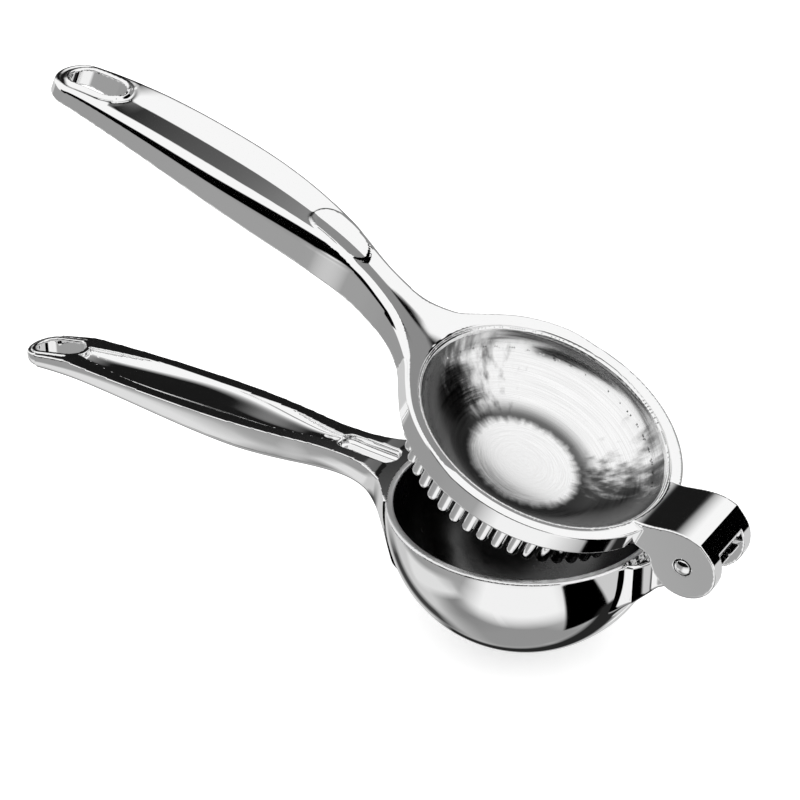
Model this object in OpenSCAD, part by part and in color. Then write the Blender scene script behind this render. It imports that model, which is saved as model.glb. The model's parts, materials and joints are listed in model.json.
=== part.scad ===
// Hinged hand squeezer for citrus halves: a fluted press cup on the upper arm
// drives a half fruit into a drained bowl on the lower arm.
// The origin is the centre of the bowl's flat foot, +X runs from the bowl to
// the hinge, the handles point along -X and +Z is up.

/* [Arms] */
// Distance from the bowl's widest place to the hinge pin
hinge_out = 12.4; // [11:0.1:20]
// Distance from the hinge pin to the end of the upper handle
upper_reach = 205.5; // [175:1:245]
// Distance from the hinge pin to the end of the lower handle
lower_reach = 207.5; // [175:1:245]
// Angle between the arms in the stored pose
rest_open = 23.5; // [0:0.5:60]

/* [Bowl] */
// Outer radius of the bowl
bowl_r = 35.6; // [30:0.1:38]
// Wall thickness of the bowl
bowl_wall = 2.1; // [1.5:0.1:3]
// Height of the rim above the bowl's widest place
bowl_upper = 3; // [2:0.5:8]
// Radius of the flat foot under the bowl
foot_r = 8; // [5:0.5:12]
// Radius of one drain hole
drain_r = 1.5; // [1:0.1:2]
// Distance between two drain holes
drain_pitch = 6.2; // [5:0.1:8]
// Number of rings of drain holes
drain_rings = 2; // [1:1:3]

/* [Press ring] */
// How far the ring's edge stands outside the bowl's wall
ring_lip = 1.1; // [0:0.1:2]
// Height of the ring
ring_h = 5.8; // [4:0.1:8]
// Radial width of the ring's flat face
ring_face = 3.5; // [2.5:0.1:6]
// Gap between the ring and the bowl's rim when the arms are closed
close_gap = 0.2; // [0.1:0.05:1]

/* [Press cup] */
// Sheet thickness of the press cup
cup_wall = 1.1; // [0.8:0.1:1.6]
// Radial clearance between the press cup's wall and the bowl
cup_clear = 2.3; // [1.6:0.1:4]
// Room between the press cup and the bowl's floor when the arms are closed
cup_floor = 23; // [12:0.1:26]
// Number of flutes round the cup
flute_count = 48; // [24:2:60]
// Radius of one flute
flute_r = 1.1; // [0.7:0.1:1.5]

/* [Hinge] */
// Width across the two ears
hinge_w = 20; // [16:0.5:26]
// Thickness of one ear
ear_t = 3.9; // [2.5:0.1:5]
// Radius of the ears
ear_r = 8.8; // [7:0.1:12]
// Radius of the hinge pin
pin_r = 2; // [1.5:0.1:3]
// Height of the pin's domed heads
pin_head = 0.6; // [0.3:0.1:1]
// Height of the hinge pin above the bowl's rim
hinge_rise = 3.7; // [2:0.1:6]
// Thickness of the hood plate between the ears
hood_t = 1.6; // [1.2:0.1:2.4]
// Width of the slot between the two lugs
lug_slot = 2; // [1:0.1:4]
// How far the hood's edge stays behind the front of the ears
hood_inset = 3.4; // [2.5:0.1:5]
// Running gap between the lugs and the hood
hood_gap = 0.3; // [0.2:0.05:0.6]
// Running gap at the sides of the lugs
side_gap = 0.2; // [0.1:0.05:0.5]
// Radial running gap round the pin
pin_gap = 0.05; // [0.02:0.01:0.1]

/* [Handles] */
// Greatest half width of the upper handle
upper_half_w = 10.5; // [8:0.1:13]
// Greatest half width of the lower handle
lower_half_w = 8.8; // [7:0.1:11]
// Length of a hanging slot
slot_l = 15.5; // [11:0.5:18]
// Width of the upper hanging slot
upper_slot_w = 8.8; // [7:0.1:10]
// Width of the lower hanging slot
lower_slot_w = 7.6; // [6:0.1:9]
// Metal left between the upper slot and the handle's end
upper_slot_edge = 3.8; // [2:0.1:6]
// Metal left between the lower slot and the handle's end
lower_slot_edge = 2.8; // [2:0.1:6]
// Depth of the groove along the upper handle
groove_d = 1.3; // [0.8:0.1:2]
// Width of the rims beside the groove
groove_rim = 4; // [2:0.1:5]
// Length of the thumb dent
dent_l = 16; // [12:0.5:20]
// Width of the thumb dent
dent_w = 8.6; // [6:0.1:10]
// Depth of the hollow in the lower handle
hollow_d = 6; // [3:0.5:8]
// Thickness of the lower handle's side walls
hollow_wall = 2.2; // [1.5:0.1:3]
// Length of the short hollow in the lower neck
neck_hollow_l = 16; // [12:0.5:18]
// Width of the short hollow in the lower neck
neck_hollow_w = 6; // [4:0.1:7]

/* [Hidden] */

steel = [0.78, 0.79, 0.80];
satin = [0.70, 0.71, 0.72];
round_fn = 96;
far = 300;

// Bowl and hinge places
bowl_rise = sqrt(pow(bowl_r, 2) - pow(foot_r, 2));
rim_z = bowl_rise + bowl_upper;
bore_r = bowl_r - bowl_wall;
hinge_z = rim_z + hinge_rise;
reach = bowl_r + hinge_out;

// In the arms' own frame the hinge pin lies along Y through the origin
rim = -hinge_rise;
ring_r = bowl_r + ring_lip;
ring_bottom = rim + close_gap;
ring_top = ring_bottom + ring_h;
seat_r = ring_r - ring_face;
upper_start = reach + ring_r;
lower_start = reach + bowl_r;

// Hinge fits
lug_r = ear_r - hood_t - hood_gap;
lug_half = hinge_w / 2 - ear_t - side_gap;
lug_bore = pin_r + pin_gap;

// Curve through a list of [place, value], smooth at every point
function knot_slope(p, i) =
    i == 0 ? (p[1][1] - p[0][1]) / (p[1][0] - p[0][0]) :
    i == len(p) - 1 ? (p[i][1] - p[i - 1][1]) / (p[i][0] - p[i - 1][0]) :
    (p[i + 1][1] - p[i - 1][1]) / (p[i + 1][0] - p[i - 1][0]);
function span_of(p, u, i = 0) = i >= len(p) - 2 || u <= p[i + 1][0] ? i : span_of(p, u, i + 1);
function hermite(a, b, ma, mb, t) =
    a * (2 * pow(t, 3) - 3 * pow(t, 2) + 1) + ma * (pow(t, 3) - 2 * pow(t, 2) + t)
    + b * (3 * pow(t, 2) - 2 * pow(t, 3)) + mb * (pow(t, 3) - pow(t, 2));
function on_span(p, u, i, w) =
    hermite(p[i][1], p[i + 1][1], knot_slope(p, i) * w, knot_slope(p, i + 1) * w,
            (u - p[i][0]) / w);
function curve(p, u) = let (i = span_of(p, u)) on_span(p, u, i, p[i + 1][0] - p[i][0]);

// Handle curves: place 0 is the edge of the ring or bowl and 1 the handle's end,
// widths are shares of the greatest half width, heights are from the hinge pin
upper_w = [[-0.12, 2.4], [-0.05, 1.75], [0, 1.18], [0.06, 0.72], [0.13, 0.55], [0.19, 0.55],
           [0.28, 0.73], [0.42, 0.93], [0.55, 1], [0.75, 0.93], [0.93, 0.76], [1, 0.7]];
upper_top = [[-0.25, ring_top], [-0.12, ring_top + 2], [0, ring_top + 4.8], [0.13, 9.6],
             [0.28, 10.8], [0.42, 10.5], [0.57, 8.9], [0.75, 5.9], [0.9, 2.3], [1, -1.2]];
upper_bottom = [[-0.25, ring_bottom], [0, ring_bottom + 0.4], [0.1, -1.9], [0.28, 1.2],
                [0.42, 1.8], [0.57, 1.1], [0.75, -0.6], [0.9, -3.2], [1, -5.4]];
lower_w = [[-0.06, 1.9], [0, 1.3], [0.05, 0.9], [0.09, 0.73], [0.14, 0.65], [0.2, 0.68],
           [0.29, 0.83], [0.39, 0.95], [0.5, 1], [0.7, 0.93], [0.93, 0.72], [1, 0.66]];
lower_top = [[-0.06, rim], [0, rim - 0.3], [0.14, -3.2], [0.29, -0.8], [0.39, 0.2], [0.49, 0.4],
             [0.6, -0.2], [0.7, -1], [0.8, -2.4], [0.9, -4.4], [1, -7]];
lower_bottom = [[-0.06, -24], [0, -19], [0.03, -15.4], [0.07, -12.9], [0.14, -11.9],
                [0.37, -11.9], [0.49, -11], [0.7, -9.2], [0.82, -9], [0.9, -9.9], [1, -11.8]];

steps = 40;
above = 5;
upper_len = upper_reach - upper_start;
lower_len = lower_reach - lower_start;
upper_end_r = upper_half_w * 0.76;
dent_place = 0.275;
neck_hollow_place = 0.085;
lower_end_r = lower_half_w * 0.68;

function shares(from, to, n) = [for (i = [0 : n]) from + (to - from) * i / n];
function along(start, length, u) = -(start + length * u);

// Side view of a handle between two curves, from share a to share b
module side(start, length, low, high, a, b) {
    places = shares(a, b, steps);
    rotate([90, 0, 0])
        linear_extrude(far, center = true)
            polygon(concat(
                [for (u = places) [along(start, length, u), curve(low, u)]],
                [for (i = [steps : -1 : 0])
                    [along(start, length, places[i]), curve(high, places[i])]]));
}

// Top view of a handle, from share a to share b, made narrower by inset
module plan(start, length, width, half, a, b, inset = 0) {
    places = shares(a, b, steps);
    translate([0, 0, -far / 2])
        linear_extrude(far)
            polygon(concat(
                [for (u = places) [along(start, length, u), curve(width, u) * half - inset]],
                [for (i = [steps : -1 : 0])
                    [along(start, length, places[i]), inset - curve(width, places[i]) * half]]));
}

// Pocket outline with narrow ends between shares a and b
almond_tip = 0.3;
module almond(start, length, half, a, b) {
    places = shares(0, 1, steps);
    translate([0, 0, -far / 2])
        linear_extrude(far)
            polygon(concat(
                [for (t = places)
                    [along(start, length, a + (b - a) * t), half * sin(180 * t) + almond_tip]],
                [for (i = [steps : -1 : 0])
                    [along(start, length, a + (b - a) * places[i]),
                     -half * sin(180 * places[i]) - almond_tip]]));
}

// Upright post that fills a long round-ended slot
module slot_post(place, length, width) {
    half = (length - width) / 2;
    translate([place, 0, -far / 2]) {
        for (side = [-1, 1])
            translate([side * half, 0, 0])
                cylinder(h = far, r = width / 2, $fn = round_fn);
        translate([-half, -width / 2, 0])
            cube([2 * half, width, far]);
    }
}

// Round bar along the hinge line
module hinge_bar(r, half) {
    rotate([90, 0, 0])
        cylinder(h = 2 * half, r = r, center = true, $fn = round_fn);
}

// The bowl's outer form in the arms' frame, which the pieces welded to it fit
module bowl_form() {
    translate([-reach, 0, rim - bowl_upper])
        sphere(r = bowl_r, $fn = round_fn);
}

module in_place() {
    translate([reach, 0, hinge_z])
        children();
}

module opened() {
    in_place()
        rotate([0, rest_open, 0])
            children();
}

// Handle, neck and the raised shoulder that runs round the back of the ring, whose
// inner slope starts shoulder_foot outside the cup's seat
shoulder_foot = 0.8;
shoulder_rise = 8;
module upper_handle_body() {
    end_share = 1 - upper_end_r / upper_len;
    intersection() {
        side(upper_start, upper_len, upper_bottom, upper_top, -0.25, 1);
        union() {
            plan(upper_start, upper_len, upper_w, upper_half_w, -0.12, end_share);
            translate([-(upper_reach - upper_end_r), 0, -far / 2])
                cylinder(h = far, r = upper_end_r, $fn = round_fn);
            translate([-reach, 0, -far / 2])
                cylinder(h = far, r = ring_r, $fn = round_fn);
        }
    }
}

// Plate that rises from the ring to the top of the ears
module hood_body() {
    ramp = hinge_out - ring_lip + 3;
    crest = ear_r * 0.3;
    intersection() {
        rotate([90, 0, 0])
            linear_extrude(hinge_w, center = true)
                polygon([[-ramp - 6, ring_bottom], [-ramp - 6, ring_top], [-ramp, ring_top],
                         [-crest, ear_r * 0.95], [0, ear_r * 0.95], [0, ring_bottom]]);
        union() {
            hinge_bar(ear_r, hinge_w);
            translate([-far, -far / 2, ring_bottom])
                cube([far - crest, far, far]);
        }
    }
    hinge_bar(ear_r, hinge_w / 2);
}

// Room for the lugs between the ears, open below and behind the hood's edge
module lug_room() {
    room = hinge_w / 2 - ear_t;
    room_r = lug_r + hood_gap;
    hinge_bar(room_r, room);
    translate([-room_r, -room, -far])
        cube([far, 2 * room, far]);
    translate([ear_r - hood_inset, -room, -far])
        cube([far, 2 * room, 2 * far]);
    translate([-ear_r - 1, -room, -far])
        cube([far, 2 * room, far + ring_bottom]);
}

module upper_arm() {
    color(steel)
        opened()
            difference() {
                union() {
                    upper_handle_body();
                    translate([-reach, 0, ring_bottom])
                        cylinder(h = ring_h, r = ring_r, $fn = round_fn);
                    hood_body();
                }
                // face and seat of the press cup
                translate([-reach, 0, ring_top])
                    cylinder(h = shoulder_rise, r1 = seat_r + shoulder_foot,
                             r2 = seat_r + shoulder_foot + shoulder_rise, $fn = round_fn);
                translate([-reach, 0, -far / 2])
                    cylinder(h = far, r = seat_r, $fn = round_fn);
                // groove and thumb dent
                intersection() {
                    side(upper_start, upper_len, [for (p = upper_top) [p[0], p[1] - groove_d]],
                         [for (p = upper_top) [p[0], p[1] + above]], 0.36, 0.88);
                    plan(upper_start, upper_len, upper_w, upper_half_w, 0.36, 0.84, groove_rim);
                }
                intersection() {
                    side(upper_start, upper_len, [for (p = upper_top) [p[0], p[1] - groove_d]],
                         [for (p = upper_top) [p[0], p[1] + above]], 0.2, 0.4);
                    slot_post(along(upper_start, upper_len, dent_place), dent_l, dent_w);
                }
                slot_post(-(upper_reach - upper_slot_edge - slot_l / 2), slot_l, upper_slot_w);
                lug_room();
                hinge_bar(pin_r, hinge_w);
            }
}

// The cup's wall below the ring, and its radius at share t of its depth
mouth_r = sqrt(pow(bore_r, 2) - pow(bowl_upper, 2));
cup_r = mouth_r - cup_clear;
cup_drop = rim_z - bowl_wall + close_gap - cup_floor;
cup_power = 2.6;
flute_share = 0.72;
flute_sink = 0.6;
function cup_radius(t, r) = r * pow(1 - pow(t, cup_power), 1 / cup_power);

module cup_profile(r, drop, top) {
    rotate_extrude($fn = round_fn)
        polygon(concat(
            [[0, top], [r, top]],
            [for (i = [0 : 18]) let (t = sin(i * 5)) [cup_radius(t, r), ring_bottom - drop * t]]));
}

module press_cup() {
    color(satin)
        opened()
            translate([-reach, 0, 0])
                difference() {
                    union() {
                        cup_profile(cup_r, cup_drop, ring_bottom + 1);
                        translate([0, 0, ring_bottom])
                            cylinder(h = ring_h, r = seat_r, $fn = round_fn);
                        for (i = [0 : flute_count - 1])
                            rotate([0, 0, i * 360 / flute_count])
                                translate([cup_r - flute_r * flute_sink, 0,
                                           ring_bottom - cup_drop * flute_share])
                                    cylinder(h = cup_drop * flute_share, r = flute_r, $fn = 24);
                    }
                    cup_profile(cup_r - cup_wall, cup_drop - cup_wall, ring_bottom);
                    // the dish flares to the seat inside the ring
                    translate([0, 0, ring_bottom - 0.01])
                        cylinder(h = ring_h + 0.02, r1 = cup_r - cup_wall, r2 = seat_r - cup_wall,
                                 $fn = round_fn);
                }
}

module lower_handle() {
    end_share = 1 - lower_end_r / lower_len;
    color(steel)
        in_place()
            difference() {
                intersection() {
                    side(lower_start, lower_len, lower_bottom, lower_top, -0.06, 1);
                    union() {
                        plan(lower_start, lower_len, lower_w, lower_half_w, -0.06, end_share);
                        translate([-(lower_reach - lower_end_r), 0, -far / 2])
                            cylinder(h = far, r = lower_end_r, $fn = round_fn);
                    }
                }
                bowl_form();
                // long hollow along the grip and a short one in the neck
                intersection() {
                    side(lower_start, lower_len, [for (p = lower_top) [p[0], p[1] - hollow_d]],
                         [for (p = lower_top) [p[0], p[1] + above]], 0.2, 0.85);
                    almond(lower_start, lower_len, lower_half_w - hollow_wall, 0.24, 0.8);
                }
                intersection() {
                    side(lower_start, lower_len, [for (p = lower_top) [p[0], p[1] - hollow_d / 2]],
                         [for (p = lower_top) [p[0], p[1] + above]], 0, 0.2);
                    slot_post(along(lower_start, lower_len, neck_hollow_place), neck_hollow_l,
                              neck_hollow_w);
                }
                slot_post(-(lower_reach - lower_slot_edge - slot_l / 2), slot_l, lower_slot_w);
            }
}

// One drain hole, square to the bowl's wall at an angle from straight down, and how
// far its cutter stands out on both sides of the wall
drain_over = 3;
module drain(tilt, turn) {
    rotate([0, 0, turn])
        rotate([0, 180 - tilt, 0])
            translate([0, 0, bore_r - drain_over])
                cylinder(h = bowl_wall + 2 * drain_over, r = drain_r, $fn = 32);
}

module strainer_bowl() {
    tilt_step = drain_pitch / bowl_r * 180 / PI;
    color(satin)
        difference() {
            intersection() {
                translate([0, 0, bowl_rise])
                    sphere(r = bowl_r, $fn = round_fn);
                translate([-far / 2, -far / 2, 0])
                    cube([far, far, rim_z]);
            }
            intersection() {
                translate([0, 0, bowl_rise])
                    sphere(r = bore_r, $fn = round_fn);
                translate([-far / 2, -far / 2, bowl_wall])
                    cube([far, far, far]);
            }
            for (ring = [1 : drain_rings])
                for (i = [0 : 6 * ring - 1])
                    translate([0, 0, bowl_rise])
                        drain(ring * tilt_step, i * 60 / ring);
        }
}

// Block welded to the bowl, drawn in to two lugs that turn between the ears: how far
// it reaches into the bowl's form, its depth below the pin at both ends, and its gaps
into_bowl = 8;
block_start = 1.5;
root_depth = 19.5;
neck_depth = 12.8;
ear_gap = 0.4;
module hinge_knuckle() {
    root = -hinge_out - into_bowl;
    start = -hinge_out - block_start;
    shoulder = -ear_r - ear_gap;
    wide = hinge_w / 2 + 1;
    color(steel)
        in_place()
            difference() {
                union() {
                    intersection() {
                        rotate([90, 0, 0])
                            linear_extrude(2 * wide, center = true)
                                polygon([[root, rim], [shoulder, rim], [shoulder, -neck_depth],
                                         [root, -root_depth]]);
                        translate([0, 0, -far / 2])
                            linear_extrude(far)
                                polygon([[root, -wide], [start, -wide], [shoulder, -lug_half],
                                         [shoulder, lug_half], [start, wide], [root, wide]]);
                    }
                    rotate([90, 0, 0])
                        linear_extrude(2 * lug_half, center = true)
                            polygon([[shoulder - 1, rim], [-lug_r * 0.6, rim], [0, 0],
                                     [0, -lug_r * 0.98], [-pin_r, -lug_r - 1],
                                     [shoulder - 1, -neck_depth]]);
                    hinge_bar(lug_r, lug_half);
                }
                bowl_form();
                translate([-lug_r, -lug_slot / 2, -far / 2])
                    cube([far, lug_slot, far]);
                hinge_bar(lug_bore, hinge_w);
            }
}

// Plain bar with a low dome on each end
module hinge_pin() {
    half = hinge_w / 2;
    dome = shares(0, 90, 6);
    color(steel)
        in_place()
            rotate([90, 0, 0])
                rotate_extrude($fn = round_fn)
                    polygon(concat(
                        [for (a = dome) [pin_r * sin(a), half + pin_head * cos(a)]],
                        [for (a = dome) [pin_r * cos(a), -half - pin_head * sin(a)]]));
}

upper_arm();
press_cup();
lower_handle();
strainer_bowl();
hinge_knuckle();
hinge_pin();
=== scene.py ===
# Hinged hand squeezer for citrus halves, in stainless steel. The lower arm is a drained
# bowl with a hollow handle; the upper arm carries a fluted press cup in a thick ring.
import json
import math
import bpy
import numpy as np
from mathutils import Matrix, Vector


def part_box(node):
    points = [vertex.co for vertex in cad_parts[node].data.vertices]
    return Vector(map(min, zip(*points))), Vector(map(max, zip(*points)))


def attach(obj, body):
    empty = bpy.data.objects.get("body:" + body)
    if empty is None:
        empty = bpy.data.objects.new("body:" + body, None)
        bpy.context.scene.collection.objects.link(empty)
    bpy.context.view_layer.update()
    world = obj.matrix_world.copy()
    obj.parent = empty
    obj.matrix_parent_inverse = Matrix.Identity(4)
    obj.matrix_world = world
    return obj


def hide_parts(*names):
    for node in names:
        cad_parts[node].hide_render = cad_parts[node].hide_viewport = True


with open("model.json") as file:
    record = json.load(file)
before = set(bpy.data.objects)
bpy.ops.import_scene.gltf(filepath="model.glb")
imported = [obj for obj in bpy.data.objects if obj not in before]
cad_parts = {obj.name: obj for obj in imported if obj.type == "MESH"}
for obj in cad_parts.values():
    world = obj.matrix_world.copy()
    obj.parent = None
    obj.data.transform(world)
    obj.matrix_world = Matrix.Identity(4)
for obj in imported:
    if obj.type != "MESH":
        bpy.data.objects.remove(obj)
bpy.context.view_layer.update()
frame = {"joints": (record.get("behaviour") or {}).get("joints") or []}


# ---------------------------------------------------------------- strainer bowl
# A half-round bowl pressed from 2 mm stainless sheet, polished outside and brushed
# inside, with a flat foot and rings of round juice holes punched through its floor.
# The inside is painted near black as shade.
MM = 0.001
bowl_low, bowl_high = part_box("strainer_bowl")
bowl_r = (bowl_high.y - bowl_low.y) / 2 / MM
rim_z = bowl_high.z / MM
bowl_wall = 2.1
foot_r = 8.0
bowl_centre_z = math.sqrt(bowl_r ** 2 - foot_r ** 2)
rim_edge = 0.55
foot_edge = 1.5
hole_r = 1.5
hole_edge = 0.3
hole_pitch = 6.2
hole_rings = 2
holes_in_first_ring = 6
inside_skin = 0.3
rim_land = 0.5
margin = 1.5
bowl_grain = 0.49


def fillet(a, b, r):
    """Two forms welded with a concave fillet of radius r."""
    return np.maximum(r, np.minimum(a, b)) - np.hypot(
        np.maximum(r - a, 0), np.maximum(r - b, 0))


def eased(a, b, r):
    """The part common to two forms, with its edge rounded to radius r."""
    return np.minimum(-r, np.maximum(a, b)) + np.hypot(
        np.maximum(r + a, 0), np.maximum(r + b, 0))


def slope(form, p, reach=0.02):
    """Gradient of a form at points p."""
    out = np.empty_like(p)
    for i in range(3):
        step = np.zeros(3)
        step[i] = reach
        ahead, behind = p + step, p - step
        out[:, i] = (form(*ahead.T) - form(*behind.T)) / (2 * reach)
    return out


def settle(form, p, most, rounds):
    """Moves points onto the surface of a form."""
    for _ in range(rounds):
        g = slope(form, p)
        move = g * (form(*p.T) / np.maximum((g * g).sum(1), 1e-6))[:, None]
        size = np.linalg.norm(move, axis=1, keepdims=True)
        p = p - move * np.minimum(1, most / np.maximum(size, 1e-9))
    return p


def cast(name, form, low, high, grain, place=None):
    """A mesh of even quads on the surface of a form given in millimetres. place turns
    the finished points and normals from the piece's own axes into the row frame."""
    axes = [np.arange(a, b + grain, grain) for a, b in zip(low, high)]
    grid = np.meshgrid(*axes, indexing="ij")
    f = form(*grid)
    solid = f < 0
    corners = [(i, j, k) for i in (0, 1) for j in (0, 1) for k in (0, 1)]
    cut = [slice(0, -1), slice(1, None)]
    filled = sum(solid[cut[i], cut[j], cut[k]].astype(np.int8) for i, j, k in corners)
    skin = (filled > 0) & (filled < 8)
    cell = np.argwhere(skin)
    number = np.full(skin.shape, -1, np.int64)
    number[skin] = np.arange(len(cell))
    total = np.zeros((len(cell), 3))
    hits = np.zeros(len(cell))
    for a in corners:
        for axis in range(3):
            if a[axis]:
                continue
            b = tuple(v + (axis == n) for n, v in enumerate(a))
            fa = f[tuple((cell + a).T)]
            fb = f[tuple((cell + b).T)]
            hit = (fa < 0) != (fb < 0)
            t = np.where(hit, fa / np.where(hit, fa - fb, 1), 0)
            at = cell + a + t[:, None] * (np.array(b) - a)
            total[hit] += at[hit]
            hits[hit] += 1
    points = total / hits[:, None] * grain + np.array([a[0] for a in axes])
    quads = []
    for axis in range(3):
        one, two = (axis + 1) % 3, (axis + 2) % 3
        here = [slice(None)] * 3
        here[axis] = slice(0, -1)
        here[one] = here[two] = slice(1, -1)
        there = list(here)
        there[axis] = slice(1, None)
        here, there = tuple(here), tuple(there)
        for out in (True, False):
            edge = solid[here] & ~solid[there] if out else ~solid[here] & solid[there]
            at = np.argwhere(edge)
            at[:, one] += 1
            at[:, two] += 1
            ring = []
            for s, t in ((1, 1), (0, 1), (0, 0), (1, 0)):
                c = at.copy()
                c[:, one] -= s
                c[:, two] -= t
                ring.append(number[tuple(c.T)])
            quads.append(np.stack(ring if out else ring[::-1], 1))
    quads = np.concatenate(quads)
    points = settle(form, points, grain / 2, 4)
    for _ in range(2):
        around = np.zeros_like(points)
        share = np.zeros(len(points))
        for a in range(4):
            for b in ((a + 1) % 4, (a + 3) % 4):
                np.add.at(around, quads[:, a], points[quads[:, b]])
                np.add.at(share, quads[:, a], 1)
        points = (points + around / share[:, None]) / 2
        points = settle(form, points, grain / 2, 3)
    normals = slope(form, points)
    normals /= np.maximum(np.linalg.norm(normals, axis=1, keepdims=True), 1e-9)
    if place:
        points, normals = place(points, normals)
    mesh = bpy.data.meshes.new(name)
    mesh.from_pydata((points * MM).tolist(), [], quads.tolist())
    mesh.polygons.foreach_set("use_smooth", np.ones(len(quads), bool))
    mesh.normals_split_custom_set_from_vertices(normals.tolist())
    mesh.update()
    piece = bpy.data.objects.new(name, mesh)
    bpy.context.scene.collection.objects.link(piece)
    return piece


def buffing_marks():
    """Node group: faint wheel marks and wipe haze of polished steel."""
    g = bpy.data.node_groups.new("buffing marks", "ShaderNodeTree")
    face = g.interface
    for name, kind, value in (("Marks per metre", "NodeSocketFloat", 2500.0),
                              ("Least roughness", "NodeSocketFloat", 0.03),
                              ("Most roughness", "NodeSocketFloat", 0.09)):
        face.new_socket(name, in_out="INPUT", socket_type=kind).default_value = value
    face.new_socket("Roughness", in_out="OUTPUT", socket_type="NodeSocketFloat")
    face.new_socket("Height", in_out="OUTPUT", socket_type="NodeSocketFloat")
    face.new_socket("Tint", in_out="OUTPUT", socket_type="NodeSocketFloat")
    n, link = g.nodes, g.links.new
    given = n.new("NodeGroupInput")
    out = n.new("NodeGroupOutput")
    place = n.new("ShaderNodeTexCoord")
    haze = n.new("ShaderNodeTexNoise")
    haze.inputs["Scale"].default_value = 60
    haze.inputs["Detail"].default_value = 5
    link(place.outputs["Object"], haze.inputs["Vector"])
    stretch = n.new("ShaderNodeMapping")
    stretch.inputs["Scale"].default_value = (0.08, 1, 1)
    link(place.outputs["Object"], stretch.inputs["Vector"])
    marks = n.new("ShaderNodeTexNoise")
    marks.inputs["Detail"].default_value = 2
    link(stretch.outputs["Vector"], marks.inputs["Vector"])
    link(given.outputs["Marks per metre"], marks.inputs["Scale"])
    both = n.new("ShaderNodeMath")
    both.operation = "MULTIPLY_ADD"
    both.inputs[1].default_value = 0.35
    link(marks.outputs["Fac"], both.inputs[0])
    link(haze.outputs["Fac"], both.inputs[2])
    level = n.new("ShaderNodeMapRange")
    level.inputs["From Min"].default_value = 0.45
    level.inputs["From Max"].default_value = 0.9
    link(both.outputs[0], level.inputs["Value"])
    link(given.outputs["Least roughness"], level.inputs["To Min"])
    link(given.outputs["Most roughness"], level.inputs["To Max"])
    tint = n.new("ShaderNodeMapRange")
    tint.inputs["To Min"].default_value = 0.94
    tint.inputs["To Max"].default_value = 1.0
    link(haze.outputs["Fac"], tint.inputs["Value"])
    link(level.outputs["Result"], out.inputs["Roughness"])
    link(marks.outputs["Fac"], out.inputs["Height"])
    link(tint.outputs["Result"], out.inputs["Tint"])
    return g


marks_group = buffing_marks()


def steel(name, colour, least, most, per_metre, relief):
    """A stainless steel finish."""
    m = bpy.data.materials.new(name)
    m.use_nodes = True
    n, link = m.node_tree.nodes, m.node_tree.links.new
    shader = n["Principled BSDF"]
    shader.inputs["Metallic"].default_value = 1
    marks = n.new("ShaderNodeGroup")
    marks.node_tree = marks_group
    marks.inputs["Marks per metre"].default_value = per_metre
    marks.inputs["Least roughness"].default_value = least
    marks.inputs["Most roughness"].default_value = most
    tone = n.new("ShaderNodeMix")
    tone.data_type = "RGBA"
    tone.inputs[6].default_value = (*[c * 0.85 for c in colour], 1)
    tone.inputs[7].default_value = (*colour, 1)
    link(marks.outputs["Tint"], tone.inputs[0])
    link(tone.outputs[2], shader.inputs["Base Color"])
    link(marks.outputs["Roughness"], shader.inputs["Roughness"])
    bump = n.new("ShaderNodeBump")
    bump.inputs["Strength"].default_value = 0.4
    bump.inputs["Distance"].default_value = relief
    link(marks.outputs["Height"], bump.inputs["Height"])
    link(bump.outputs["Normal"], shader.inputs["Normal"])
    return m


def bowl_form(x, y, z):
    out = np.sqrt(x * x + y * y + (z - bowl_centre_z) ** 2)
    ball = eased(out - bowl_r, -z, foot_edge)
    hollow = np.maximum(out - (bowl_r - bowl_wall), bowl_wall - z)
    shell = eased(np.maximum(ball, -hollow), z - rim_z, rim_edge)
    # juice holes lie in rings round the foot, square to the wall
    flat = np.hypot(x, y)
    turn = np.arctan2(y, x)
    tilt = np.arctan2(flat, bowl_centre_z - z)
    for ring in range(1, hole_rings + 1):
        pitch = 2 * np.pi / (holes_in_first_ring * ring)
        aside = (turn + pitch / 2) % pitch - pitch / 2
        lean = ring * hole_pitch / bowl_r
        gap = np.hypot((tilt - lean) * bowl_r, aside * np.sin(lean) * bowl_r)
        shell = eased(shell, hole_r - gap, hole_edge)
    return shell


bowl = cast("juice_bowl", bowl_form, (-bowl_r - margin, -bowl_r - margin, -margin),
            (bowl_r + margin, bowl_r + margin, rim_z + margin), bowl_grain)
mirror_steel = steel("mirror polished steel", (0.93, 0.93, 0.93), 0.02, 0.06, 2500, 1e-6)
# painted shade: the bowl's inside gets a near black colour, not the steel's own colour
brushed_inside_painted_shade = steel("brushed bowl inside painted dark as shade", (0.1, 0.1, 0.1), 0.16, 0.3, 900, 4e-6)
ground_rim = steel("ground bowl rim", (0.9, 0.9, 0.9), 0.28, 0.4, 1800, 2e-6)
for finish in (mirror_steel, brushed_inside_painted_shade, ground_rim):
    bowl.data.materials.append(finish)
for face in bowl.data.polygons:
    at = face.center / MM - Vector((0, 0, bowl_centre_z))
    below_rim = rim_z - face.center.z / MM
    if at.length < bowl_r - bowl_wall + inside_skin and below_rim > rim_land:
        face.material_index = 1
    elif below_rim < rim_land:
        face.material_index = 2
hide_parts("strainer_bowl")
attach(bowl, "lower_arm")


# ---------------------------------------------------------------- lower handle
# Cast stainless grip welded to the bowl and polished all over. A long hollow saves
# weight, a short one lies in the neck, and a slot at the end hangs it on a hook.
hinge = frame["joints"][0]
pin_x, _, pin_z = [v / MM for v in hinge["pos_m"]]
handle_low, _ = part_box("lower_handle")
lower_end = pin_x - handle_low.x / MM
lower_start = pin_x + bowl_r
lower_half_w = 9.4
lower_end_r = 6.0
lower_slot = (15.5, 7.6, 2.8)
hollow_middle, hollow_half, hollow_deep = 146, 47, 5.2
hollow_rim = 2.2
neck_hollow = (94.5, 19, 6.6)
neck_deep = 3.2
under_edge, top_edge = 2.2, 0.45
handle_weld = 5.0
rim_drop = rim_z - pin_z


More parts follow.
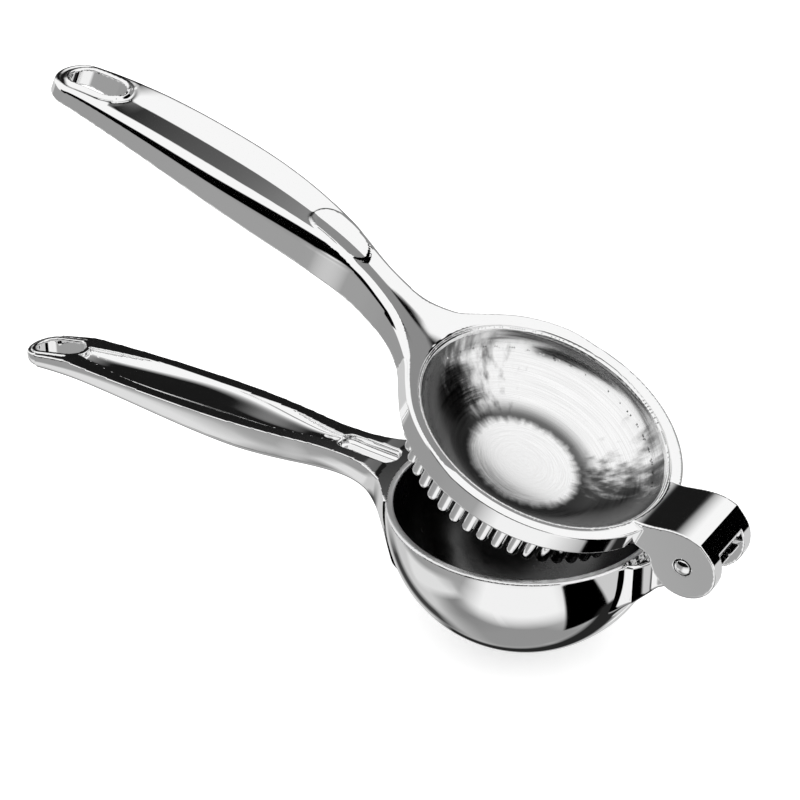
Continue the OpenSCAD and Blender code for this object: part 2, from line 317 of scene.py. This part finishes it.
def curve(knots, at):
    """Smooth line through a list of (place, value) knots."""
    place = np.array([k[0] for k in knots], float)
    value = np.array([k[1] for k in knots], float)
    lean = np.empty_like(value)
    lean[1:-1] = (value[2:] - value[:-2]) / (place[2:] - place[:-2])
    lean[0] = (value[1] - value[0]) / (place[1] - place[0])
    lean[-1] = (value[-1] - value[-2]) / (place[-1] - place[-2])
    at = np.clip(at, place[0], place[-1])
    i = np.clip(np.searchsorted(place, at, side="right") - 1, 0, len(place) - 2)
    wide = place[i + 1] - place[i]
    t = (at - place[i]) / wide
    return (value[i] * (2 * t ** 3 - 3 * t ** 2 + 1) + lean[i] * wide * (t ** 3 - 2 * t * t + t)
            + value[i + 1] * (3 * t ** 2 - 2 * t ** 3) + lean[i + 1] * wide * (t ** 3 - t ** 2))


def line_of(knots, start, end, most=1.0):
    """The same line as a quick table over the distance from the hinge pin."""
    at = np.linspace(start - 60, end + 6, 1400)
    value = curve(knots, (at - start) / (end - start)) * most
    return lambda q: np.interp(q, at, value)


def oval(q, y, middle, long, wide):
    """Distance from a round-ended slot outline."""
    return np.hypot(np.maximum(np.abs(q - middle) - (long - wide) / 2, 0), y) - wide / 2


lower_w = line_of([(-0.06, 1.9), (0, 1.3), (0.05, 0.9), (0.09, 0.73), (0.14, 0.65), (0.2, 0.68),
                   (0.29, 0.83), (0.39, 0.95), (0.5, 1), (0.7, 0.93), (0.93, 0.72), (1, 0.66)],
                  lower_start, lower_end, lower_half_w)
lower_top = line_of([(-0.06, rim_drop), (0, rim_drop - 0.3), (0.14, -3.2), (0.29, -0.8),
                     (0.39, 0.4), (0.49, 0.6), (0.6, 0), (0.7, -0.9), (0.8, -2.4),
                     (0.9, -4.6), (1, -7.2)], lower_start, lower_end)
lower_bottom = line_of([(-0.06, -24), (0, -19), (0.03, -15.4), (0.07, -12.9), (0.14, -12.1),
                        (0.37, -13.0), (0.49, -12.2), (0.7, -10.4), (0.82, -10.0), (0.9, -10.5),
                        (1, -11.8)], lower_start, lower_end)


def lower_form(x, y, z):
    q, h = pin_x - x, z - pin_z
    turn_at = lower_end - lower_end_r
    side = np.where(q > turn_at, np.hypot(q - turn_at, y) - lower_end_r,
                    (np.abs(y) - lower_w(q)) * 0.95)
    # the side walls swell a little between the top edge and the rounded underside
    top, low = lower_top(q), lower_bottom(q)
    share = np.clip((h - low) / (top - low), 0, 1)
    side = side + 0.9 * (1 - share) ** 2 - 0.25 * np.sin(np.pi * share)
    under = (low - h) * 0.97
    body = eased(side, under, under_edge)
    lid = (h - top) * 0.98
    body = eased(body, lid, top_edge)
    # long hollow with a sloping end, deepest towards the neck
    long_at = (q - hollow_middle) / hollow_half
    wide = np.maximum(lower_w(q) - hollow_rim, 0.5)
    almond = wide * np.sqrt(np.clip(1 - long_at ** 2, 0, 1))
    edge = np.abs(y) - almond
    past_end = np.hypot(np.abs(y), (np.abs(long_at) - 1) * hollow_half)
    edge = np.where(np.abs(long_at) < 1, edge, past_end)
    depth = hollow_deep * np.clip(1 - long_at ** 4, 0.02, 1)
    floor = top - depth * np.clip(1 - (np.abs(y) / (almond + 0.6)) ** 5, 0, 1) ** 0.5
    pocket = np.maximum(edge, floor - h)
    body = eased(body, -pocket, 0.5)
    neck = eased(oval(q, y, *neck_hollow), (top - neck_deep) - h, 1.6)
    body = eased(body, -neck, 0.6)
    slot = oval(q, y, lower_end - lower_slot[2] - lower_slot[0] / 2, *lower_slot[:2])
    lip = eased(np.abs(slot - 0.75) - 0.75, h - top - 0.3, 0.35)
    lip = np.maximum(lip, low + 2 - h)
    body = fillet(body, lip, 0.2)
    body = eased(body, -slot, 0.4)
    # the neck flares onto the bowl in a polished weld
    out = np.sqrt(x * x + y * y + (z - bowl_centre_z) ** 2)
    ball = np.maximum(out - bowl_r + 0.06, z - rim_z + 1.0)
    body = fillet(body, ball, handle_weld)
    body = np.maximum(body, z - rim_z + 0.05)
    body = np.maximum(body, bowl_r - 0.9 - out)
    return np.maximum(body, x + 18)


lower_grip = cast("lower_grip", lower_form, (pin_x - lower_end - 1.5, -19, 5),
                  (-16, 19, rim_z + 7), 0.5)
lower_grip.data.materials.append(mirror_steel)
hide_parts("lower_handle")
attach(lower_grip, "lower_arm")


# ---------------------------------------------------------------- hinge knuckle
# Block cast and welded to the bowl's edge, drawn in to two round lugs with a slot
# between them. The lugs are bored for the pin and turn between the upper arm's ears.
ear_r = 8.8
lug_r = 6.9
lug_half = 5.9
block_half = 11.0
pin_r = 2.0
ear_swing_r = 9.15
knuckle_weld = 2.5


def knuckle_form(x, y, z):
    a, h, side = x - pin_x, z - pin_z, np.abs(y)
    round_at = np.hypot(a, h)
    lugs = eased(round_at - lug_r, side - lug_half, 0.5)
    bar = eased(np.maximum(h - rim_drop + 0.1, a), side - lug_half, 0.5)
    bar = eased(bar, (-6.9 + 0.62 * a - h) * 0.85, 1.0)
    flare = lug_half + (block_half - lug_half) * np.clip((-9.3 - a) / 3.0, 0, 1) ** 0.8
    block = eased(np.maximum(h - rim_drop + 0.1, a + 9.2), (side - flare) * 0.8, 0.9)
    block = eased(block, (-13.2 + 0.68 * (a + 9.2) - h) * 0.83, 1.2)
    block = np.maximum(block, -22 - a)
    body = fillet(fillet(bar, lugs, 1.2), block, 1.6)
    out = np.sqrt(x * x + y * y + (z - bowl_centre_z) ** 2)
    ball = np.maximum(out - bowl_r + 0.06, z - rim_z + 1.0)
    body = fillet(body, ball, knuckle_weld)
    body = np.maximum(body, z - rim_z + 0.06)
    body = eased(body, np.minimum(ear_swing_r - round_at, side - lug_half - 0.1), 0.2)
    body = eased(body, np.minimum(1.0 - side, a + 6.4), 0.3)
    body = eased(body, pin_r + 0.08 - round_at, 0.15)
    body = np.maximum(body, bowl_r - 0.9 - out)
    return np.maximum(body, 18 - x)


knuckle = cast("bowl_knuckle", knuckle_form, (16, -21, 8),
               (pin_x + 8.4, 21, pin_z + 8.4), 0.38)
knuckle.data.materials.append(mirror_steel)
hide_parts("hinge_knuckle")
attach(knuckle, "lower_arm")


# ---------------------------------------------------------------- hinge pin
# A 4 mm steel bar set through the ears and lugs, with both ends turned to low domes
# that stand just proud of the ears.
pin_half = 10.0
pin_dome = 0.6


def pin_form(x, y, z):
    bar = np.hypot(x - pin_x, z - pin_z)
    curve_r = (pin_r ** 2 + pin_dome ** 2) / (2 * pin_dome)
    cap = np.hypot(bar, np.abs(y) - (pin_half + pin_dome - curve_r)) - curve_r
    return eased(bar - pin_r, np.where(np.abs(y) > 6, cap, -3.0), 0.12)


pin = cast("hinge_pin_bar", pin_form, (pin_x - 2.6, -11, pin_z - 2.6),
           (pin_x + 2.6, 11, pin_z + 2.6), 0.16)
pin.data.materials.append(
    steel("turned pin steel", (0.93, 0.93, 0.93), 0.05, 0.12, 3000, 1e-6))
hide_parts("hinge_pin")
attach(pin, "press_arm")


# ---------------------------------------------------------------- upper arm
# One casting: a thick ring for the press cup, a hinge hood with two ears, and a long
# grip that rises from the ring in two ridges and ends in a hanging slot.
open_angle = math.radians(-hinge["range_deg"][0])
reach = pin_x
ring_low, ring_top = rim_drop + 0.2, rim_drop + 6.0
ring_r = bowl_r + 1.1
seat_r = ring_r - 3.5
upper_end = 205.5
upper_start = reach + ring_r
upper_half_w = 10.5
upper_end_r = 8.0
upper_slot = (15.5, 8.8, 3.8)
dent_at, dent_long, dent_wide = 116.6, 17.4, 9.4

upper_w = line_of([(-0.12, 2.4), (-0.05, 1.75), (0, 1.18), (0.06, 0.72), (0.13, 0.55),
                   (0.19, 0.55), (0.28, 0.73), (0.42, 0.93), (0.55, 1), (0.75, 0.93),
                   (0.93, 0.76), (1, 0.7)], upper_start, upper_end, upper_half_w)
upper_crest = line_of([(-0.25, ring_top), (-0.12, ring_top + 2), (0, ring_top + 4.8),
                       (0.13, 10.4), (0.28, 12.3), (0.42, 12.3), (0.57, 10.6), (0.75, 7.3),
                       (0.9, 3.1), (1, -1)], upper_start, upper_end)
upper_crown = line_of([(0, 0), (0.1, 0.6), (0.25, 1.9), (0.6, 1.9), (0.9, 1.0), (1, 0.5)],
                      upper_start, upper_end)
groove_power = line_of([(-0.05, 3), (0.1, 3), (0.2, 2), (0.3, 1), (1, 1)],
                       upper_start, upper_end)
upper_under = line_of([(-0.25, ring_low), (0, ring_low + 0.4), (0.1, -2.1), (0.28, 0.9),
                       (0.42, 1.4), (0.57, 0.9), (0.75, -0.8), (0.9, -3.3), (1, -5.5)],
                      upper_start, upper_end)
upper_edge = line_of([(-0.25, 0.5), (-0.1, 0.8), (0, 1.4), (0.15, 2.4), (0.45, 2.6),
                      (0.7, 1.9), (1, 1.0)], upper_start, upper_end)
groove_depth = line_of([(-0.05, 2.6), (0.03, 3.0), (0.12, 2.4), (0.2, 1.7), (0.27, 1.1),
                        (0.34, 1.1), (0.78, 1.1), (0.84, 0)], upper_start, upper_end)


def upper_form(x, y, z):
    q, side = -x, np.abs(y)
    out = np.hypot(x + reach, y)
    # outline from above: the grip runs into the ring with a soft flare
    w = upper_w(q)
    lean = upper_w(q + 0.5) - upper_w(q - 0.5)
    turn_at = upper_end - upper_end_r
    wall = np.where(q > turn_at, np.hypot(q - turn_at, y) - upper_end_r,
                    (side - w) / np.hypot(1, lean))
    wall = fillet(np.maximum(wall, upper_start - 12 - q), out - ring_r, 2.0)
    # top: crown, groove, thumb dent, slot lip, and the valley that opens to the ring
    slot = oval(q, y, upper_end - upper_slot[2] - upper_slot[0] / 2, *upper_slot[:2])
    dent = oval(q, y, dent_at, dent_long, dent_wide)
    bead = (0.4 * np.exp(-((slot - 0.7) / 0.5) ** 2) - 0.3 * np.exp(-((slot - 2.0) / 0.7) ** 2)
            + 0.28 * np.exp(-(dent / 0.55) ** 2))
    crest = upper_crest(q) + bead
    crown = upper_crown(q) * np.clip(side / np.maximum(w, 1) / 0.3 - 2.33, 0, 1) ** 2
    lid = (z - crest + np.where(q > upper_start, crown, 0)) * 0.97
    rim_at = np.maximum(0.8 * w, 1.5)
    across = np.minimum(np.sqrt(y * y + 0.05) / rim_at, 3)
    floor = crest - 0.4 - groove_depth(q) * (1 - across ** groove_power(q))
    inside = np.clip(-dent / 0.8, 0, 1)
    inside = inside * inside * (3 - 2 * inside)
    hollow = crest - 0.3 - 1.1 * (1 - np.sqrt(y * y + 0.05) / (dent_wide / 2))
    floor = floor * (1 - inside) + hollow * inside
    floor = np.where((q > upper_start - 8) & (groove_depth(q) > 0.02), floor, 99)
    cone = ring_top + 0.3 * np.maximum(out - seat_r - 0.6, 0)
    blend = np.clip(0.5 + (cone - floor) / 4, 0, 1)
    open_floor = cone * (1 - blend) + floor * blend - 2 * blend * (1 - blend)
    steep = np.where(q < 96, 1.2, 0.2)
    lid = eased(lid, (z - open_floor) / np.hypot(1, steep), 0.3)
    low = (np.where(q > upper_start, upper_under(q), ring_low) - z) * 0.97
    body = eased(eased(wall, low, 0.6), lid, upper_edge(q))
    # hinge hood between the ears
    round_at = np.hypot(x, z)
    slab = np.maximum(np.maximum(z - ring_top, ring_low - z), np.maximum(x + 6, -17 - x))
    hood = fillet(round_at - ear_r, slab, np.where(z > -1, 10.0, 1.2))
    hood = eased(hood, side - 10 - 0.05 * z, 0.4)
    room = np.minimum(np.minimum(round_at - 7.2, np.maximum(-7.2 - x, z)),
                      np.minimum(5.4 - x, np.maximum(-9.8 - x, z - ring_low)))
    hood = eased(hood, -np.maximum(room, side - 6.1), 0.25)
    hood = eased(hood, np.where(side > 8, 2.35, pin_r - 0.1) - round_at, 0.15)
    body = np.minimum(body, hood)
    body = eased(body, seat_r - out, 0.6)
    return eased(body, -slot, 0.45)


def opened(points, normals):
    """From the upper arm's own axes, with the pin at the origin, to the row frame."""
    c, s = math.cos(open_angle), math.sin(open_angle)
    turn = np.array([[c, 0, s], [0, 1, 0], [-s, 0, c]])
    return points @ turn.T + [pin_x, 0, pin_z], normals @ turn.T


upper_grip = cast("upper_grip", upper_form, (-upper_end - 1.5, -ring_r - 1.5, -10.3),
                  (10.3, ring_r + 1.5, 13.5), 0.45, opened)
upper_grip.data.materials.append(mirror_steel)
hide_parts("upper_arm")
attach(upper_grip, "press_arm")


# ---------------------------------------------------------------- press cup
# A cup pressed from 1.1 mm sheet and seated in the ring, with flutes round its wall
# that grip the peel. The dish inside is turned to a satin finish, with a painted reflection:
# one side painted light, the other painted dark as shade, and a painted highlight in the middle.
mouth_r = math.sqrt((bowl_r - bowl_wall) ** 2 - (rim_z - bowl_centre_z) ** 2)
cup_r = mouth_r - 2.3
cup_drop = 13.8
flutes = 48
flute_r = 1.65
flute_drop = 9.5
dish_deep = 17.2
dish_floor = ring_top - 15.6
dish_lip = 0.7
# side of the dish that is painted light; the far side is painted dark as shade
painted_light_side = 100


def cup_solid(out, z, r, drop, power):
    """A round cup with a full corner, open upwards."""
    down = np.maximum(ring_low - z, 0) / drop
    reach_out = (np.maximum(out, 0) / r) ** power + down ** power
    return (np.maximum(reach_out, 1e-6) ** (1 / power) - 1) * np.where(
        z > ring_low, r, 0.5 * (r + drop) * 0.85)


def cup_form(x, y, z):
    a = x + reach
    out = np.hypot(a, y)
    turn = np.arctan2(y, a)
    wall = cup_solid(out, z, cup_r, cup_drop, 2.6)
    pitch = 2 * np.pi / flutes
    aside = (turn % pitch - pitch / 2)
    middle = cup_r - 1.15
    across = np.hypot(out * np.cos(aside) - middle, out * np.sin(aside))
    flute = np.hypot(across, np.maximum(ring_low - flute_drop - z, 0)) - flute_r
    flute = np.maximum(flute, z - ring_low - 0.8)
    wall = fillet(wall, flute, 0.12)
    wall = np.maximum(wall, z - ring_low - 2)
    seat = np.maximum(out - seat_r + 0.02, np.maximum(z - ring_top + 0.5, ring_low - z))
    body = np.minimum(wall, seat)
    # the dish is a smooth basin that opens to the lip and has a flat floor
    basin = np.sqrt((out / (seat_r - dish_lip)) ** 2
                    + (np.maximum(ring_top + 0.2 - z, 0) / dish_deep) ** 2) - 1
    dish = eased(basin * 20, dish_floor - z, 2.5)
    return eased(body, -dish, 0.45)


def joined(tree, socket, value):
    """Feeds a socket from another socket, or sets it to a plain value."""
    if isinstance(value, (int, float)):
        socket.default_value = value
    else:
        tree.links.new(value, socket)


def maths(tree, kind, *values):
    """One Math node, fed by sockets or plain numbers."""
    m = tree.nodes.new("ShaderNodeMath")
    m.operation = kind
    for socket, value in zip(m.inputs, values):
        joined(tree, socket, value)
    return m.outputs[0]


def dish_marks_and_painted_light():
    """Node group: rings left in the dish as it was spun against a pad, and a painted reflection:
    the dish painted light on one side and dark as shade on the other, with a painted highlight in
    its middle, both broken into rays.
    """
    g = bpy.data.node_groups.new("turned marks and painted light", "ShaderNodeTree")
    for name in ("Tint", "Height", "Roughness"):
        g.interface.new_socket(name, in_out="OUTPUT", socket_type="NodeSocketFloat")
    n, join = g.nodes, g.links.new
    out = n.new("NodeGroupOutput")

    def ramp(value, start, end, low, high):
        r = n.new("ShaderNodeMapRange")
        r.interpolation_type = "SMOOTHSTEP"
        for name, v in (("From Min", start), ("From Max", end), ("To Min", low),
                        ("To Max", high)):
            r.inputs[name].default_value = v
        join(value, r.inputs["Value"])
        return r.outputs["Result"]

    def noise(vector, scale, detail):
        t = n.new("ShaderNodeTexNoise")
        t.inputs["Scale"].default_value = scale
        t.inputs["Detail"].default_value = detail
        join(vector, t.inputs["Vector"])
        return t.outputs["Fac"]

    def pack(*parts):
        c = n.new("ShaderNodeCombineXYZ")
        for socket, v in zip(c.inputs, parts):
            joined(g, socket, v)
        return c.outputs[0]

    place = n.new("ShaderNodeMapping")
    place.vector_type = "TEXTURE"
    place.inputs["Location"].default_value = hinge["pos_m"]
    place.inputs["Rotation"].default_value = (0, open_angle, 0)
    join(n.new("ShaderNodeTexCoord").outputs["Object"], place.inputs["Vector"])
    parts = n.new("ShaderNodeSeparateXYZ")
    join(place.outputs["Vector"], parts.inputs[0])
    a = maths(g, "ADD", maths(g, "MULTIPLY", parts.outputs[0], 1000.0), reach)
    y = maths(g, "MULTIPLY", parts.outputs[1], 1000.0)
    away = maths(g, "SQRT", maths(g, "ADD", maths(g, "MULTIPLY", a, a), maths(g, "MULTIPLY", y, y)))
    away = maths(g, "MAXIMUM", away, 0.01)
    ux, uy = maths(g, "DIVIDE", a, away), maths(g, "DIVIDE", y, away)
    rays = noise(pack(ux, uy, maths(g, "MULTIPLY", away, 0.03)), 9.0, 4)
    rings = noise(pack(maths(g, "MULTIPLY", away, 5.0), maths(g, "MULTIPLY", ux, 1.5),
                       maths(g, "MULTIPLY", uy, 1.5)), 1.0, 2)
    # painted reflection: the dish wall is painted light towards this side and dark as shade on the
    # far side
    bright = math.radians(painted_light_side)
    facing = maths(g, "ADD", maths(g, "MULTIPLY", ux, math.cos(bright)),
                   maths(g, "MULTIPLY", uy, math.sin(bright)))
    facing = maths(g, "ADD", facing, maths(g, "MULTIPLY", maths(g, "SUBTRACT", rays, 0.5), 1.5))
    wall = ramp(facing, 0.1, 0.8, 0.05, 1.0)
    wall = maths(g, "MULTIPLY", wall, ramp(away, 15.5, 21.0, 0.12, 1.0))
    # painted highlight: the middle of the dish is painted light
    middle = ramp(maths(g, "ADD", away, maths(g, "MULTIPLY", rays, 3.0)), 14.0, 17.5, 1.0, 0.0)
    tint = maths(g, "MAXIMUM", wall, middle)
    tint = maths(g, "MULTIPLY", tint, ramp(rings, 0.3, 0.7, 0.85, 1.0))
    join(tint, out.inputs["Tint"])
    join(rings, out.inputs["Height"])
    join(ramp(rings, 0.3, 0.7, 0.14, 0.26), out.inputs["Roughness"])
    return g


press_cup = cast("fluted_press_cup", cup_form, (-reach - ring_r, -ring_r, -19.5),
                 (-reach + ring_r, ring_r, 4.2), 0.47, opened)
painted_light_dish_steel = bpy.data.materials.new("satin dish steel with painted light and shade")
painted_light_dish_steel.use_nodes = True
dish_nodes, dish_link = painted_light_dish_steel.node_tree.nodes, painted_light_dish_steel.node_tree.links.new
dish_shader = dish_nodes["Principled BSDF"]
dish_shader.inputs["Metallic"].default_value = 1
# this group gives the dish its painted light and shade as well as its turned rings
turned = dish_nodes.new("ShaderNodeGroup")
turned.node_tree = dish_marks_and_painted_light()
dish_painted_light_tone = dish_nodes.new("ShaderNodeMix")
dish_painted_light_tone.data_type = "RGBA"
# the dish's colour runs from near black to near white with the painted light and shade
dish_painted_light_tone.inputs[6].default_value = (0.03, 0.03, 0.03, 1)
dish_painted_light_tone.inputs[7].default_value = (0.97, 0.97, 0.97, 1)
dish_link(turned.outputs["Tint"], dish_painted_light_tone.inputs[0])
dish_link(dish_painted_light_tone.outputs[2], dish_shader.inputs["Base Color"])
dish_link(turned.outputs["Roughness"], dish_shader.inputs["Roughness"])
dish_bump = dish_nodes.new("ShaderNodeBump")
dish_bump.inputs["Strength"].default_value = 0.4
dish_bump.inputs["Distance"].default_value = 3e-6
dish_link(turned.outputs["Height"], dish_bump.inputs["Height"])
dish_link(dish_bump.outputs["Normal"], dish_shader.inputs["Normal"])
press_cup.data.materials.append(mirror_steel)
press_cup.data.materials.append(painted_light_dish_steel)
to_arm = Matrix.Rotation(-open_angle, 3, "Y")
for face in press_cup.data.polygons:
    # the dish side of the sheet looks up and in towards the cup's axis
    at = to_arm @ (face.center / MM - Vector((pin_x, 0, pin_z)))
    out_of = to_arm @ face.normal
    from_axis = math.hypot(at.x + reach, at.y)
    inward = -(out_of.x * (at.x + reach) + out_of.y * at.y) / max(from_axis, 0.1)
    if max(inward, out_of.z) > 0.2 and from_axis < seat_r - 0.9:
        face.material_index = 1
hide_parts("press_cup")
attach(press_cup, "press_arm")


# ---------------------------------------------------------------- studio
# A plain pale floor in soft light. The steel sees a white overhead panel, a grey room
# and a few black flags, which only its reflections show.
floor_mesh = bpy.data.meshes.new("studio_floor")
floor_half, floor_z = 6, -0.0002
floor_mesh.from_pydata([(x * floor_half, y * floor_half, floor_z)
                        for x, y in ((-1, -1), (1, -1), (1, 1), (-1, 1))], [], [(0, 1, 2, 3)])
floor = bpy.data.objects.new("studio_floor", floor_mesh)
bpy.context.scene.collection.objects.link(floor)
floor.visible_glossy = False
floor_paint = bpy.data.materials.new("pale floor")
floor_paint.use_nodes = True
floor_shader = floor_paint.node_tree.nodes["Principled BSDF"]
floor_shader.inputs["Base Color"].default_value = (0.93, 0.93, 0.93, 1)
floor_shader.inputs["Roughness"].default_value = 0.9
floor_shader.inputs["Specular IOR Level"].default_value = 0
floor_shader.inputs["Emission Color"].default_value = (1, 1, 1, 1)
floor_shader.inputs["Emission Strength"].default_value = 0.45
floor_mesh.materials.append(floor_paint)

world = bpy.data.worlds.new("studio")
bpy.context.scene.world = world
world.use_nodes = True
nodes, link = world.node_tree.nodes, world.node_tree.links.new
nodes.clear()


def towards(azimuth, elevation):
    """Unit vector; azimuth turns from +X towards +Y."""
    a, e = math.radians(azimuth), math.radians(elevation)
    return Vector((math.cos(a) * math.cos(e), math.sin(a) * math.cos(e), math.sin(e)))


def panel_group():
    """Node group: how far a direction falls inside a soft-edged rectangular panel."""
    g = bpy.data.node_groups.new("studio panel", "ShaderNodeTree")
    for name in ("Direction", "Facing", "Across", "Up"):
        g.interface.new_socket(name, in_out="INPUT", socket_type="NodeSocketVector")
    for name in ("Half width", "Half height", "Softness"):
        g.interface.new_socket(name, in_out="INPUT", socket_type="NodeSocketFloat")
    g.interface.new_socket("Mask", in_out="OUTPUT", socket_type="NodeSocketFloat")
    n, join = g.nodes, g.links.new
    given, out = n.new("NodeGroupInput"), n.new("NodeGroupOutput")

    def dot(name):
        d = n.new("ShaderNodeVectorMath")
        d.operation = "DOT_PRODUCT"
        join(given.outputs["Direction"], d.inputs[0])
        join(given.outputs[name], d.inputs[1])
        return d.outputs["Value"]

    ahead = maths(g, "MAXIMUM", dot("Facing"), 0.001)
    masks = []
    for name, half in (("Across", "Half width"), ("Up", "Half height")):
        off = maths(g, "ABSOLUTE", maths(g, "DIVIDE", dot(name), ahead))
        gap = maths(g, "SUBTRACT", given.outputs[half], off)
        ramp = maths(g, "ADD", maths(g, "DIVIDE", gap, given.outputs["Softness"]), 0.5)
        ramp = maths(g, "MINIMUM", maths(g, "MAXIMUM", ramp, 0.0), 1.0)
        masks.append(ramp)
    seen = maths(g, "GREATER_THAN", dot("Facing"), 0.01)
    join(maths(g, "MULTIPLY", maths(g, "MULTIPLY", *masks), seen), out.inputs["Mask"])
    return g


panel_tree = panel_group()
ray = nodes.new("ShaderNodeTexCoord").outputs["Generated"]
seen_light = nodes.new("ShaderNodeValue")
seen_light.outputs[0].default_value = 1.0
seen_light = seen_light.outputs[0]


def panel(seen, azimuth, elevation, width, height, softness, light, lean=0):
    """Lays a panel of the given light over what the steel sees so far."""
    facing = towards(azimuth, elevation)
    across = Vector((0, 0, 1)).cross(facing)
    across = across.normalized() if across.length > 0.01 else Vector((1, 0, 0))
    up = facing.cross(across)
    c, s = math.cos(math.radians(lean)), math.sin(math.radians(lean))
    across, up = across * c + up * s, up * c - across * s
    p = nodes.new("ShaderNodeGroup")
    p.node_tree = panel_tree
    link(ray, p.inputs["Direction"])
    p.inputs["Facing"].default_value = facing
    p.inputs["Across"].default_value = across
    p.inputs["Up"].default_value = up
    p.inputs["Half width"].default_value = math.tan(math.radians(width / 2))
    p.inputs["Half height"].default_value = math.tan(math.radians(height / 2))
    p.inputs["Softness"].default_value = softness
    mix = nodes.new("ShaderNodeMix")
    link(p.outputs["Mask"], mix.inputs[0])
    link(seen, mix.inputs[2])
    mix.inputs[3].default_value = light
    return mix.outputs[0]


# azimuth, elevation, width and height in degrees, softness, light, lean in degrees
for settings in (
        (0, -50, 179, 76, 0.02, 0.62),
        (180, -50, 179, 76, 0.02, 0.62),
        (90, -90, 50, 50, 0.4, 0.3),
        (-130, -55, 26, 36, 0.3, 0.25),
        (-147, -41, 40, 18, 0.1, 0.78),
        (-140, -20, 90, 32, 0.08, 0.33),
        (-112, -34, 44, 20, 0.3, 0.36, -27),
        (-65, -46, 60, 46, 0.35, 0.95),
        (90, 17, 130, 38, 0.03, 0.27),
        (131, 20, 46, 46, 0.4, 0.01),
        (49, 12, 30, 44, 0.04, 0.0),
        (-4, -48, 22, 52, 0.03, 0.0, 38),
        (85, -62, 60, 16, 0.08, 0.02),
        (157, -48, 16, 26, 0.15, 0.05),
        (-90, 4, 110, 32, 0.06, 0.0)):
    seen_light = panel(seen_light, *settings)

path = nodes.new("ShaderNodeLightPath")
steel_sees = nodes.new("ShaderNodeMix")
link(path.outputs["Is Glossy Ray"], steel_sees.inputs[0])
steel_sees.inputs[2].default_value = 1.0
link(seen_light, steel_sees.inputs[3])
sky = nodes.new("ShaderNodeBackground")
link(steel_sees.outputs[0], sky.inputs["Color"])
link(sky.outputs[0], nodes.new("ShaderNodeOutputWorld").inputs["Surface"])

key = bpy.data.lights.new("overhead softbox", "AREA")
key.shape = "RECTANGLE"
key.size = key.size_y = 1.6
key.energy = 6
key_lamp = bpy.data.objects.new("overhead softbox", key)
key_lamp.location = (0.1, 0.2, 1.6)
key_lamp.visible_glossy = False
bpy.context.scene.collection.objects.link(key_lamp)

camera = bpy.data.cameras.new("camera")
camera.sensor_width = 36
camera.lens = 107.3
camera.clip_start = 0.01
view = bpy.data.objects.new("camera", camera)
bpy.context.scene.collection.objects.link(view)
pin_place = Vector(hinge["pos_m"])
view.location = pin_place + Vector((0.18704, -0.43905, 0.33180))
looking = -towards(31.82 - 90, 31.605)
view.rotation_euler = (looking.to_track_quat("-Z", "Y").to_matrix().to_4x4()
                       @ Matrix.Rotation(math.radians(0.14), 4, "Z")).to_euler()
bpy.context.scene.camera = view
bpy.context.scene.view_settings.view_transform = "Standard"
